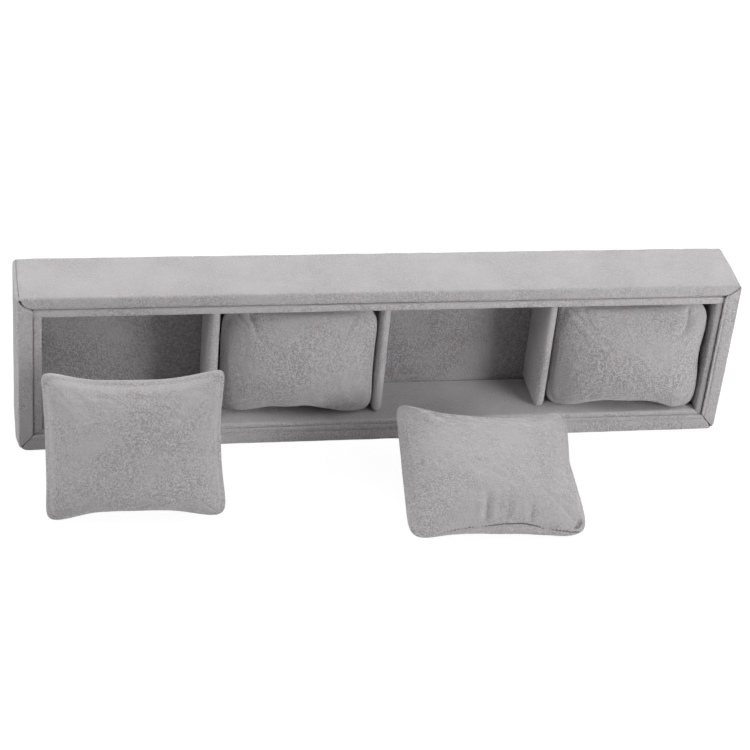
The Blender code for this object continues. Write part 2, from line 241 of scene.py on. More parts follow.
# An overhanging fold: depth of its rear, round of its rear edge and thickness of its cloth
LOBE = 0.00115
LOBE_ROUND = 0.0005
LOBE_COVER = 0.00035
# Crease that sets an overhanging fold off from the rest of the wall's front
CREASE = WALL - 0.0004
CREASE_DEPTH = 0.0005
# Depth in front of which the leg beside the lining strip has fine points
LEG_FRONT = 0.005
REAR_ROUND = 0.0012
LINER_NOSE = 0.0012


def arc(centre, radius, start, end, steps):
    """Points on an arc in a section plane, from one angle to another, in degrees."""
    angles = np.radians(np.linspace(start, end, steps + 1))
    return [(centre[0] + radius * cos(a), centre[1] + radius * sin(a)) for a in angles]


def spread(start, end, step):
    """Points on a line in a section plane, without its two ends."""
    start = np.array(start)
    end = np.array(end)
    count = max(int(round(np.linalg.norm(end - start) / step)), 1)
    return [tuple(start + (end - start) * k / count) for k in range(1, count)]


def wall_section(lip, outer, inner):
    """Outside of a wall's cover as (depth, inset), from beside the liner round to the lap."""
    overhangs = lip > LINER_OUTSIDE
    path = [(LINER_REAR, WALL)]
    path += spread((LINER_REAR, WALL), (LEG_FRONT, WALL), 0.006) + [(LEG_FRONT, WALL)]
    if overhangs:
        path += spread((LEG_FRONT, WALL), (LOBE, WALL), 0.0011)
        path += [(LOBE, WALL), (LOBE, 0.5 * (WALL + lip - LOBE_ROUND)), (LOBE, lip - LOBE_ROUND)]
        path += arc((LOBE - LOBE_ROUND, lip - LOBE_ROUND), LOBE_ROUND, 0.0, 90.0, 5)[1:]
        path += arc((inner, lip - inner), inner, 90.0, 180.0, 5)[1:]
        path += spread((0.0, lip - inner), (0.0, CREASE + 0.0006), 0.0006) + [(0.0, CREASE + 0.0006)]
        path += [(CREASE_DEPTH, CREASE + 0.0001), (CREASE_DEPTH, CREASE - 0.0001), (0.0, CREASE - 0.0007)]
        path += spread((0.0, CREASE - 0.0007), (0.0, outer), 0.0007)
    else:
        path += spread((LEG_FRONT, WALL), (inner, lip), 0.0009)
        path += arc((inner, lip - inner), inner, 90.0, 180.0, 7)
        path += spread((0.0, lip - inner), (0.0, outer), 0.0007)
    path += arc((outer, outer), outer, 180.0, 270.0, 7)
    path += spread((outer, 0.0), (WRAP_REAR - REAR_ROUND, 0.0), 0.0012)
    path += arc((WRAP_REAR - REAR_ROUND, REAR_ROUND), REAR_ROUND, 270.0, 360.0, 5)
    path += spread((WRAP_REAR, REAR_ROUND), (WRAP_REAR, LAP_END), 0.001) + [(WRAP_REAR, LAP_END)]
    path = np.array(path)
    thickness = np.full(len(path), COVER)
    if overhangs:
        thickness[path[:, 1] > WALL - COVER] = LOBE_COVER
        thickness[(path[:, 1] >= WALL - 1e-9) & (path[:, 0] > LOBE + 1e-6)] = COVER
    return path, thickness


def liner_section():
    """Outside of a lining strip's cover, from the compartment's side round to the groove."""
    nose = LINER_NOSE
    front = LINER_SETBACK
    rear = LINER_REAR
    path = [(rear, RIM - 0.0006), (rear - 0.0001, RIM - 0.0003), (rear - 0.0003, RIM - 0.0001)]
    path += [(rear - 0.0006, RIM)]
    path += spread((rear - 0.0006, RIM), (front + nose, RIM), 0.0013)
    path += arc((front + nose, RIM - nose), nose, 90.0, 180.0, 6)
    path += spread((front, RIM - nose), (front, LINER_OUTSIDE + nose), 0.0006)
    path += arc((front + nose, LINER_OUTSIDE + nose), nose, 180.0, 270.0, 6)
    path += spread((front + nose, LINER_OUTSIDE), (rear, LINER_OUTSIDE), 0.005)
    path += [(rear, LINER_OUTSIDE)]
    path = np.array(path)
    return path, np.full(len(path), LINER_COVER)


def outward_normals(path):
    """Unit normals of a section path, to the right of its direction of travel."""
    ahead = np.vstack((path[1:] - path[:-1], path[-1:] - path[-2:-1]))
    ahead /= np.linalg.norm(ahead, axis=1)[:, None]
    middle = ahead.copy()
    middle[1:] += ahead[:-1]
    middle /= np.linalg.norm(middle, axis=1)[:, None]
    return np.stack((middle[:, 1], -middle[:, 0]), axis=1)


# Outward direction, middle of the outer front edge, half span, neighbours at the two ends
SIDES = {
    "top": ((0, 0, 1), (0, FRONT_Y, HEIGHT), HALF_LENGTH, ("left", "right")),
    "bottom": ((0, 0, -1), (0, FRONT_Y, 0), HALF_LENGTH, ("right", "left")),
    "left": ((-1, 0, 0), (-HALF_LENGTH, FRONT_Y, HALF_HEIGHT), HALF_HEIGHT, ("bottom", "top")),
    "right": ((1, 0, 0), (HALF_LENGTH, FRONT_Y, HALF_HEIGHT), HALF_HEIGHT, ("top", "bottom")),
}
# Distances from a seam at which the cloth beside it has rows of points
NEAR_SEAM = (0.0, 0.00012, 0.00028, 0.00048, 0.00075, 0.0011, 0.0016, 0.0022, 0.003, 0.004, 0.0052)
# Bow of each front seam towards the end wall
SEAM_BOWS = {"top left": 0.001, "top right": 0.0004}
# How far each seam gapes, and at which inset and how widely about it
SEAM_GAPES = {
    "top left": (0.00075, 0.0016, 0.0016),
    "bottom left": (0.0004, 0.001, 0.0014),
    "bottom right": (0.0005, 0.001, 0.0014),
}
NO_GAPE = (0.0, 0.0, 1.0)
GAPE_LENGTH = 0.008
GAPE_DEPTH = 0.006
# Seams that lie on the top face beside the corner: how far in, and how far open
SEAM_SLIDES = {"top left": (0.0004, 0.00025)}
NO_SLIDE = (0.0, 0.0)
SLIDE_INSET = 0.0012
SLIDE_DEPTH = 0.004
# Rounds of the box's outer corners at the front, and how they narrow towards the back
FRONT_ROUNDS = {"top left": 0.0026, "top right": 0.0026, "bottom left": 0.005, "bottom right": 0.0038}
BACK_ROUND = 0.0009
ROUND_DEPTH = 0.024
RIPPLE_SCALE = 55.0


def corner_of(side, other):
    """Name of the corner between two sides, with the level side first."""
    return f"{side} {other}" if side in ("top", "bottom") else f"{other} {side}"


def near_front(depth, reach):
    """1 at the front face, falling to 0 at a depth, with level ends."""
    share = min(max(depth / reach, 0.0), 1.0)
    return 1.0 - share * share * (3.0 - 2.0 * share)


def seam_runs(side, other, line):
    """Distances from the neighbour's outer face at which a cover ends, for its section points."""
    bow = SEAM_BOWS.get(corner_of(side, other), 0.0)
    share = np.linspace(0.0, 1.0, 41)
    runs = []
    for depth, inset in line:
        front = near_front(depth - 0.0006, 0.0006)
        own = WALL + (LIPS[side] - WALL) * front
        next_lip = WALL + (LIPS[other] - WALL) * front
        sway = bow * near_front(depth, 0.003) * np.sin(pi * share) / sqrt(2.0)
        if side in ("left", "right"):
            sway = -sway
        mine = own * share + sway
        theirs = next_lip * share - sway
        if inset <= own:
            runs.append(float(np.interp(inset, mine, theirs)))
        else:
            runs.append(next_lip + inset - own)
    return runs


def round_off(first, second, radius):
    """Moves a place beside a square corner onto the corner's round."""
    if first >= radius or second >= radius:
        return first, second
    a, b = radius - first, radius - second
    factor = max(a, b) / sqrt(a * a + b * b)
    return radius - a * factor, radius - b * factor


def along_stations(length):
    """Distances from one end at which a cover of this length has a section."""
    first = list(NEAR_SEAM)
    count = int(round((length - 2.0 * first[-1]) / 0.0018))
    middle = list(np.linspace(first[-1], length - first[-1], count + 1))[1:-1]
    return first + middle + [length - distance for distance in reversed(first)]


def strip_starts(side, other, line, walls):
    """Distances from the corner at which a wall's cover or a lining strip ends."""
    if walls:
        return seam_runs(side, other, line)
    if side == "top":
        return [LINER_OUTSIDE] * len(line)
    if other == "top":
        return [RIM - LINER_NOSE] * len(line)
    return list(line[:, 1])


def shell_faces(rings, count):
    """Faces of an outside and an inside grid, and of the rims that join them."""
    faces = []
    other = rings * count
    for base, flip in ((0, False), (other, True)):
        for ring in range(rings - 1):
            for k in range(count - 1):
                a = base + ring * count + k
                loop = (a, a + 1, a + count + 1, a + count)
                faces.append(loop[::-1] if flip else loop)
    for ring in range(rings - 1):
        for k, flip in ((0, True), (count - 1, False)):
            a = ring * count + k
            loop = (a, a + other, a + count + other, a + count)
            faces.append(loop[::-1] if flip else loop)
    for ring, flip in ((0, False), (rings - 1, True)):
        for k in range(count - 1):
            a = ring * count + k
            loop = (a, a + other, a + other + 1, a + 1)
            faces.append(loop[::-1] if flip else loop)
    return faces


def cover_strip(name, side, section, crown, fade, finish, material, walls=True):
    """A mitred cover: an outside that is crowned, rippled and tucked into its seams."""
    path, thickness = section
    wave, rounding, gap = finish
    outward, middle, half_span, ends = SIDES[side]
    outward, middle = Vector(outward), Vector(middle)
    level = side in ("top", "bottom")
    depthward = Vector((0, 1, 0))
    along = depthward.cross(outward)
    normals = outward_normals(path)
    inside = path - normals * thickness[:, None]
    depth_share = np.clip((path[:, 0] - 0.0016) / (WRAP_REAR - 0.0028), 0.0, 1.0)
    rising = 1.0 - (2.0 * depth_share - 1.0) ** 6
    crown_share = np.where(depth_share < 0.5, rising, 1.0) * (path[:, 1] <= 1e-6)
    quiet = np.where(path[:, 1] > WALL - 0.0005, 0.35, 1.0) if walls else np.ones(len(path))
    points = []
    stations = along_stations(2.0 * half_span)
    for is_outside, line in ((True, path), (False, inside)):
        starts = [strip_starts(side, other, line, walls) for other in ends]
        for station in stations:
            end = 0 if station < half_span else 1
            corner = corner_of(side, ends[end])
            gape, place, width = SEAM_GAPES.get(corner, NO_GAPE) if walls else NO_GAPE
            slide, slit = SEAM_SLIDES.get(corner, NO_SLIDE) if walls else NO_SLIDE
            distance = min(station, 2.0 * half_span - station)
            near_end = max(0.0, 1.0 - distance / GAPE_LENGTH)
            tuck = 0.0
            if distance < rounding and (walls or ends[end] != "top"):
                tuck = rounding - sqrt(rounding**2 - (rounding - distance) ** 2)
            for k, (depth, inset) in enumerate(line):
                start = starts[end][k]
                near_place = np.exp(-(((inset - place) / width) ** 2))
                open_by = gap + gape * near_place * near_front(depth, GAPE_DEPTH) * near_end
                run = start + distance * (1.0 - start / half_span) + open_by
                if inset < SLIDE_INSET:
                    behind = (1.0 - near_front(depth, SLIDE_DEPTH)) * near_end
                    run += (slide + slit if level else -slide) * behind
                past_end = run < 0.0
                run = max(run, 0.0)
                sunk = inset
                if walls:
                    narrowing = near_front(depth, ROUND_DEPTH)
                    radius = BACK_ROUND + (FRONT_ROUNDS[corner] - BACK_ROUND) * narrowing
                    run, sunk = round_off(run, inset, radius)
                reach = (half_span - run) * (-1.0 if end == 0 else 1.0)
                point = middle + along * reach - outward * sunk + depthward * depth
                if is_outside:
                    swell = crown * crown_share[k] * sin(0.5 * pi * min(distance / fade, 1.0))
                    ripple = wave * quiet[k] * noise.fractal(point * RIPPLE_SCALE, 0.8, 2.0, 3)
                    out = -outward * normals[k][1] + depthward * normals[k][0]
                    if not past_end:
                        point = point + outward * swell + out * (ripple - min(tuck, 0.9 * thickness[k]))
                    point.z = max(point.z, 0.0)
                points.append(point)
    obj = grid_object(name, points, shell_faces(len(stations), len(path)), material)
    obj.data.set_sharp_from_angle(angle=radians(60.0))
    return obj


# Crown of the outer face, how far from the ends it fades in, rounds of the outer and the inner fold
WALL_SHAPES = {
    "top": (0.0004, 0.012, 0.0014, 0.0023),
    "bottom": (0.0, 0.01, 0.0012, LOBE - LOBE_ROUND),
    "left": (0.0009, 0.003, 0.0009, 0.0006),
    "right": (0.0002, 0.008, 0.0009, LOBE - LOBE_ROUND),
}
# Ripple of a cover, rounding of its ends and their gap to the mitre
WALL_FINISH = (0.00016, 0.0006, 0.0002)
LINER_FINISH = (0.0001, 0.0003, 0.00006)
for side, (crown, fade, outer_fold, inner_fold) in WALL_SHAPES.items():
    name = f"{side}_wall_velvet"
    section = wall_section(LIPS[side], outer_fold, inner_fold)
    cover = cover_strip(name, side, section, crown, fade, WALL_FINISH, wall_velvet)
    body_piece(cover, "wall_velvet", f"{side}_wall_cover")
    name = f"{side}_liner_velvet"
    # The right lining strip takes the darker copy of the velvet, as painted shade
    look = shaded_right_liner_velvet if side == "right" else liner_velvet
    strip = cover_strip(name, side, liner_section(), 0.0, 0.01, LINER_FINISH, look, walls=False)
    body_piece(strip, "liner_velvet", f"{side}_liner_cover")


# Sleeves of the dividers

SLEEVE_FRONT = FRONT_Y + 0.0065
SLEEVE_REAR = FRONT_Y + LINER_REAR - 0.0001
SLEEVE_LOW = RIM + 0.0003
SLEEVE_HIGH = HEIGHT - RIM - 0.0003
SLEEVE_NOSE = 0.003
SLEEVE_CORNER = 0.0034
# Half thickness at the back, and the depth and reach of the swelling near the front
SLEEVE_BACK_HALF = 0.0022
SWELLING_DEPTH = 0.005
SWELLING_REACH = 0.011
SLEEVE_RIPPLE = 0.00012
POCKET_INSET = 0.00085
POCKET_HALF = 0.00135
# Half thickness on the left and on the right side of each divider, near its front
SLEEVE_HALVES = {1: (0.00235, 0.0032), 2: (0.00235, 0.00265), 3: (0.0024, 0.00285)}


def sleeve_panel(side, half, inset):
    """Grid of points on one face of a sleeve, or of its pocket if there is an inset."""
    depth = SLEEVE_REAR - SLEEVE_FRONT
    height = SLEEVE_HIGH - SLEEVE_LOW
    nose = [SLEEVE_NOSE * (1.0 - cos(0.5 * pi * k / 8)) for k in range(9)]
    behind = nose + list(np.linspace(SLEEVE_NOSE, depth, 15))[1:]
    beside = nose + list(np.linspace(SLEEVE_NOSE, height - SLEEVE_NOSE, 36))[1:-1]
    beside += [height - value for value in reversed(nose)]
    grid = []
    for back in behind:
        row = []
        for up in beside:
            edge = min(up, height - up)
            first, second = back, edge
            if inset:
                first = inset + back * (depth - inset) / depth
                second = inset + edge * (0.5 * height - inset) / (0.5 * height)
            first, second = round_off(first, second, SLEEVE_CORNER)
            z = SLEEVE_LOW + second if up < 0.5 * height else SLEEVE_HIGH - second
            if inset:
                x = POCKET_HALF
            else:
                near = max(0.0, 1.0 - min(back, edge) / SLEEVE_NOSE)
                swelling = np.exp(-(((back - SWELLING_DEPTH) / SWELLING_REACH) ** 2))
                swollen = SLEEVE_BACK_HALF + (half - SLEEVE_BACK_HALF) * swelling
                place = Vector((side * 0.01, 0.7 * back, z))
                ripple = SLEEVE_RIPPLE * noise.fractal(place * 70.0, 0.8, 2.0, 2)
                x = swollen * sqrt(1.0 - near * near) + ripple * (1.0 - near)
            row.append((side * x, SLEEVE_FRONT + first, z))
        grid.append(row)
    return grid


def divider_sleeve(index):
    """A divider's sleeve: two swollen faces round its nose, open at the back over a pocket."""
    centre = (index - 2) * (COMPARTMENT + DIVIDER)
    left, right = SLEEVE_HALVES[index]
    panels = [sleeve_panel(-1, left, 0.0), sleeve_panel(1, right, 0.0)]
    panels += [sleeve_panel(-1, left, POCKET_INSET), sleeve_panel(1, right, POCKET_INSET)]
    rows, columns = len(panels[0]), len(panels[0][0])
    points = [(x + centre, y, z) for panel in panels for row in panel for x, y, z in row]

    def spot(panel, i, j):
        return (panel * rows + i) * columns + j

    faces = []
    for panel in range(4):
        for i in range(rows - 1):
            for j in range(columns - 1):
                a, b = spot(panel, i, j), spot(panel, i + 1, j)
                faces.append((a, b, b + 1, a + 1))
    edge = [(i, 0) for i in range(rows - 1, 0, -1)] + [(0, j) for j in range(columns)]
    edge += [(i, columns - 1) for i in range(1, rows)]
    for (i, j), (k, m) in zip(edge, edge[1:]):
        faces.append((spot(2, i, j), spot(2, k, m), spot(3, k, m), spot(3, i, j)))
    last = rows - 1
    for j in range(columns - 1):
        for outer, inner in ((0, 2), (1, 3)):
            a, b = spot(outer, last, j), spot(inner, last, j)
            faces.append((a, a + 1, b + 1, b))
    for j in (0, columns - 1):
        faces.append((spot(0, last, j), spot(2, last, j), spot(3, last, j)))
    obj = grid_object(f"divider_{index}_velvet", points, faces, divider_velvet, weld=True)
    obj.data.set_sharp_from_angle(angle=radians(60.0))
    body_piece(obj, "divider_velvet", f"divider_{index}_cover")


for index in (1, 2, 3):
    divider_sleeve(index)


# Pillows

# Radius of the round between a pillow's two panels
PILLOW_EDGE = 0.0022
# The cloth is simulated at this many times its size, on a grid half as fine as the kept one
SIM_SCALE = 10.0
SIM_STEPS = 20
PANEL_COLUMNS = 44
PANEL_ROWS = 38
EDGE_RINGS = 4
# Spare cloth, how far the simulation may move it, and what it is like
SLACK = 1.08
MOVE_CAP = 0.005
CLOTH_TRAITS = {
    "quality": 6, "mass": 0.2, "vertex_group_mass": "seam",
    "use_pressure": True, "uniform_pressure_force": 8.0,
    "tension_stiffness": 15.0, "compression_stiffness": 15.0,
    "shear_stiffness": 8.0, "bending_stiffness": 12.0,
    "tension_damping": 10.0, "compression_damping": 10.0,
    "shear_damping": 10.0, "bending_damping": 4.0, "air_damping": 4.0,
}
WAVE = 0.0006


def rounded(u, v, powers):
    """Pulls the corners of a square of shares in; the powers are for its four quadrants."""
    upper = np.where(u < 0.0, powers[0], powers[1])
    lower = np.where(u < 0.0, powers[2], powers[3])
    power = np.where(v > 0.0, upper, lower)
    largest = np.maximum(np.abs(u), np.abs(v))
    norm = (np.abs(u) ** power + np.abs(v) ** power) ** (1.0 / power)
    factor = np.where(norm > 0.0, largest / np.maximum(norm, 1e-9), 1.0)
    return u * factor, v * factor


def dip(share, sharpness, centre):
    """Course of a bowed edge: 1 at the bow's deepest point, level at both corners."""
    off = share - centre
    off = np.where(off < 0.0, off / (1.0 + centre), off / (1.0 - centre))
    return (1.0 - np.clip(np.abs(off), 0.0, 1.0) ** sharpness) ** 2


def share_grid(columns, rows):
    """Shares across and up for a grid of points, from -1 to 1."""
    across = np.linspace(-1.0, 1.0, columns + 1)
    up = np.linspace(-1.0, 1.0, rows + 1)
    return np.meshgrid(across, up, indexing="ij")


def plan(shape, u, v):
    """Outline map of a pillow: shares to a place in its own plane, in metres."""
    u, v = rounded(u, v, shape["powers"])
    x = 0.5 * shape["size"][0] * u
    z = 0.5 * shape["size"][1] * v
    for (across, up), (dx, dz) in shape["corners"].items():
        weight = (1.0 + across * u) * (1.0 + up * v) / 4.0
        x = x + weight * dx * 0.001
        z = z + weight * dz * 0.001
    left, right, top, bottom = shape["bows"]
    x = x + 0.001 * left[0] * dip(v, *left[1:]) * ((1.0 - u) / 2.0) ** 2
    x = x - 0.001 * right[0] * dip(v, *right[1:]) * ((1.0 + u) / 2.0) ** 2
    z = z - 0.001 * top[0] * dip(u, *top[1:]) * ((1.0 + v) / 2.0) ** 2
    z = z + 0.001 * bottom[0] * dip(u, *bottom[1:]) * ((1.0 - v) / 2.0) ** 2
    for side, centre, wide, inward in shape.get("lobes", ()):
        if side == "right":
            x = x - 0.001 * inward * np.exp(-(((v - centre) / wide) ** 2)) * ((1.0 + u) / 2.0) ** 3
        else:
            z = z + 0.001 * inward * np.exp(-(((u - centre) / wide) ** 2)) * ((1.0 - v) / 2.0) ** 3
    return x, z


def pillow_mesh(shape, columns, rows, rings):
    """Two panels joined by a rounded edge, with their flat cut and their rings of points."""
    u, v = share_grid(columns, rows)
    width, height, thickness = shape["size"]
    shrink = (1.0 - 2.0 * PILLOW_EDGE / width, 1.0 - 2.0 * PILLOW_EDGE / height)
    x, z = plan(shape, u, v)
    swell = np.clip((1.0 - u * u) * (1.0 - v * v), 0.0, 1.0) ** shape["fullness"]
    swell *= 0.5 * thickness - PILLOW_EDGE
    flat_u, flat_v = rounded(u, v, shape["powers"])
    flat_u = 0.5 * width * SLACK * flat_u
    flat_v = 0.5 * height * SLACK * flat_v
    points = []
    rest = []
    for side in (-1.0, 1.0):
        y = side * (swell + PILLOW_EDGE)
        flat_y = np.full_like(u, side * PILLOW_EDGE)
        points += list(np.stack((x * shrink[0], y, z * shrink[1]), axis=-1).reshape(-1, 3))
        flat = np.stack((flat_u * shrink[0], flat_y, flat_v * shrink[1]), axis=-1)
        rest += list(flat.reshape(-1, 3))
    faces = []
    panel = (columns + 1) * (rows + 1)

    def spot(i, j, side):
        return side * panel + i * (rows + 1) + j

    for i in range(columns):
        for j in range(rows):
            a, b = spot(i, j, 0), spot(i + 1, j, 0)
            loop = (a, b, b + 1, a + 1)
            faces.append(loop)
            faces.append(tuple(index + panel for index in loop[::-1]))
    rim = [(i, 0) for i in range(columns)]
    rim += [(columns, j) for j in range(rows)]
    rim += [(i, rows) for i in range(columns, 0, -1)]
    rim += [(0, j) for j in range(rows, 0, -1)]
    loops = [[spot(i, j, 0) for i, j in rim]]
    for step in range(1, rings):
        angle = pi * step / rings - 0.5 * pi
        reach = [s + (1.0 - s) * cos(angle) for s in shrink]
        loops.append(list(range(len(points), len(points) + len(rim))))
        for i, j in rim:
            y = PILLOW_EDGE * sin(angle)
            points.append(np.array((x[i, j] * reach[0], y, z[i, j] * reach[1])))
            rest.append(np.array((flat_u[i, j] * reach[0], y, flat_v[i, j] * reach[1])))
    loops.append([spot(i, j, 1) for i, j in rim])
    for first, second in zip(loops, loops[1:]):
        for k in range(len(rim)):
            after = (k + 1) % len(rim)
            faces.append((first[after], first[k], second[k], second[after]))
    return np.array(points), np.array(rest), faces, loops


def inflate(obj, rest, seam):
    """Blows the panels up as cloth between their pinned seam, and keeps the result."""
    obj.shape_key_add(name="Basis")
    key = obj.shape_key_add(name="cut")
    key.data.foreach_set("co", (rest * SIM_SCALE).astype(np.float32).ravel())
    group = obj.vertex_groups.new(name="seam")
    group.add(seam, 1.0, "REPLACE")
    cloth = obj.modifiers.new("Cloth", "CLOTH")
    settings = cloth.settings
    for trait, value in CLOTH_TRAITS.items():
        setattr(settings, trait, value)
    settings.rest_shape_key = key
    settings.effector_weights.gravity = 0.0
    cloth.collision_settings.use_collision = False
    cloth.point_cache.frame_start = 1
    cloth.point_cache.frame_end = SIM_STEPS
    for step in range(1, SIM_STEPS + 1):
        scene.frame_set(step)
    graph = bpy.context.evaluated_depsgraph_get()
    mesh = bpy.data.meshes.new_from_object(obj.evaluated_get(graph))
    places = np.empty(len(mesh.vertices) * 3, np.float32)
    mesh.vertices.foreach_get("co", places)
    bpy.data.meshes.remove(mesh)
    scene.frame_set(1)
    return places.reshape(-1, 3).astype(float) / SIM_SCALE


def doubled(values):
    """Twice the steps along the first axis, on a smooth course through the given values."""
    wide = np.concatenate((2 * values[:1] - values[1:2], values, 2 * values[-1:] - values[-2:-1]))
    result = np.empty((2 * len(values) - 1,) + values.shape[1:])
    result[::2] = values
    result[1::2] = (9.0 * (wide[1:-2] + wide[2:-1]) - wide[:-3] - wide[3:]) / 16.0
    return result


def cloth_moves(shape, name):
    """How far the cloth moves each point of the fine panels from the shape they start in."""
    points, rest, faces, loops = pillow_mesh(shape, PANEL_COLUMNS, PANEL_ROWS, EDGE_RINGS)
    seam = [index for loop in loops[1:-1] for index in loop]
    dummy = grid_object(name + "_cloth", points * SIM_SCALE, faces, pillow_velvet)
    move = inflate(dummy, rest, seam) - points
    bpy.data.objects.remove(dummy, do_unlink=True)
    length = np.linalg.norm(move, axis=1)[:, None]
    move = move * np.minimum(1.0, MOVE_CAP / np.maximum(length, 1e-9))
    count = 2 * (PANEL_COLUMNS + 1) * (PANEL_ROWS + 1)
    panels = move[:count].reshape(2, PANEL_COLUMNS + 1, PANEL_ROWS + 1, 3)
    fine = [doubled(doubled(panel).swapaxes(0, 1)).swapaxes(0, 1) for panel in panels]
    return np.array(fine).reshape(-1, 3)


def fold_height(shape, u, v):
    """Height of the folds on the front panel, in metres. Folds are given in shares and mm."""
    half_width = 500.0 * shape["size"][0]
    half_height = 500.0 * shape["size"][1]
    total = np.zeros_like(u)
    for u0, v0, u1, v1, wide, high in shape["folds"]:
        start = np.array((half_width * u0, half_height * v0))
        end = np.array((half_width * u1, half_height * v1))
        run = end - start
        length = np.linalg.norm(run)
        across = half_width * u - start[0]
        up = half_height * v - start[1]
        along = (across * run[0] + up * run[1]) / length**2
        beside = (across * run[1] - up * run[0]) / length
        taper = np.sin(pi * np.clip(along, 0.0, 1.0)) ** 0.7
        total += 0.001 * high * taper * np.exp(-((beside / wide) ** 2))
    edge = np.clip((1.0 - np.maximum(np.abs(u), np.abs(v))) / 0.05, 0.0, 1.0)
    return total * edge


GROOVE_DEPTH = 0.0011
GROOVE_REACH = 0.0007
# Points of the right edge, counted from the near corner, along which the tuck is pressed in
TUCK_START = -3
TUCK_ROWS = 7
TUCK_DEPTH = 0.0034
STITCH_SPACING = 0.0016
STITCH_STEPS = 8
# Swing of the thread, and how deep it lies to the left and to the right of a share
STITCH_SWING = 0.0002
STITCH_SINKS = (0.00012, -0.00006)
SINK_CHANGE = -0.35
THREAD_RADIUS = 0.00027
THREAD_SIDES = 6


def seam_course(shape, u):
    """Distance of the closing seam from the middle of the near edge's round, in metres."""
    return 0.001 * np.interp(u, *shape["closing_seam"])


def near_edge_line(points, loops, column):
    """Indices and distances of the points up from the near edge's middle, at one column."""
    indices = [loop[column] for loop in reversed(loops[: len(loops) // 2 + 1])]
    indices += [loops[0][column] + row for row in range(1, 12)]
    line = points[indices]
    steps = np.linalg.norm(line[1:] - line[:-1], axis=1)
    return indices, np.concatenate(([0.0], np.cumsum(steps)))


def press_seam(shape, points, loops, columns):
    """Presses the closing seam's groove into the near edge."""
    upward = np.array((0.0, 0.0, 1.0))
    for column in range(1, columns):
        u = 2.0 * column / columns - 1.0
        indices, distances = near_edge_line(points, loops, column)
        course = seam_course(shape, u)
        for index, distance in zip(indices, distances):
            hollow = GROOVE_DEPTH * np.exp(-(((distance - course) / GROOVE_REACH) ** 2))
            depth = hollow * min(1.0, 8.0 * (1.0 - abs(u)))
            turn = min(distance / (0.5 * pi * PILLOW_EDGE), 1.0) * 0.5 * pi
            inward = np.array((0.0, sin(turn), 0.0)) + cos(turn) * upward
            points[index] += inward * depth


def press_tuck(points, loops, columns, rows):
    """Presses the tuck into the front of the right edge, beside the near corner."""
    for row in range(TUCK_START, TUCK_ROWS + 1):
        depth = TUCK_DEPTH * min(1.0, 0.4 * (TUCK_ROWS + 1 - row), 0.4 * (row + 1 - TUCK_START))
        first, second = loops[0][columns + row], loops[1][columns + row]
        inner = first + (1 if row <= 0 else -(rows + 1))
        for index, share in ((inner, 0.1), (first, 1.0), (second, 0.1)):
            points[index] += np.array((-0.35, 0.93, 0.0)) * depth * share


def tube_mesh(path, radius, sides):
    """Points and faces of a closed tube along a path."""
    ahead = np.gradient(path, axis=0)
    ahead /= np.linalg.norm(ahead, axis=1)[:, None]
    first = np.cross(ahead, (0.3, 1.0, 0.2))
    first /= np.linalg.norm(first, axis=1)[:, None]
    second = np.cross(ahead, first)
    tube = []
    for centre, a, b in zip(path, first, second):
        for k in range(sides):
            angle = 2.0 * pi * k / sides
            tube.append(centre + radius * (cos(angle) * a + sin(angle) * b))
    faces = []
    for ring in range(len(path) - 1):
        for k in range(sides):
            after = (k + 1) % sides
            base = ring * sides
            faces.append((base + k, base + after, base + sides + after, base + sides + k))
    last = (len(path) - 1) * sides
    faces.append(tuple(range(sides)))
    faces.append(tuple(last + k for k in reversed(range(sides))))
    return tube, faces


def stitch_line(shape, points, loops, columns):
    """Thread of the closing seam, that dips in and out of the cloth along the groove, with a tail laid up
    the tuck's slit as painted shade.
    """
    start, end = shape["stitched"]
    count = int(round(0.5 * shape["size"][0] * (end - start) / STITCH_SPACING)) * STITCH_STEPS
    path = []
    for k in range(count + 1):
        u = start + (end - start) * k / count
        course = seam_course(shape, u)
        place = 0.5 * (u + 1.0) * columns
        column = min(int(place), columns - 1)
        pair = []
        for side in (column, column + 1):
            indices, distances = near_edge_line(points, loops, side)
            line = points[indices]
            pair.append(np.array([np.interp(course, distances, line[:, axis]) for axis in range(3)]))
        share = place - column
        turn = min(course / (0.5 * pi * PILLOW_EDGE), 1.0) * 0.5 * pi
        outward = np.array((0.0, -sin(turn), -cos(turn)))
        sink = STITCH_SINKS[0 if u < SINK_CHANGE else 1]
        lift = STITCH_SWING * cos(2.0 * pi * k / STITCH_STEPS) - sink
        path.append((1.0 - share) * pair[0] + share * pair[1] + outward * lift)
    # Painted shade: the thread runs on up the tuck beside the near corner, a dark strip laid where the slit
    # lies in shadow
    for row in range(-1, TUCK_ROWS):
        path.append(points[loops[0][columns + row]] + np.array((0.1, -0.3, 0.0)) * 0.001)
    return tube_mesh(np.array(path), THREAD_RADIUS, THREAD_SIDES)


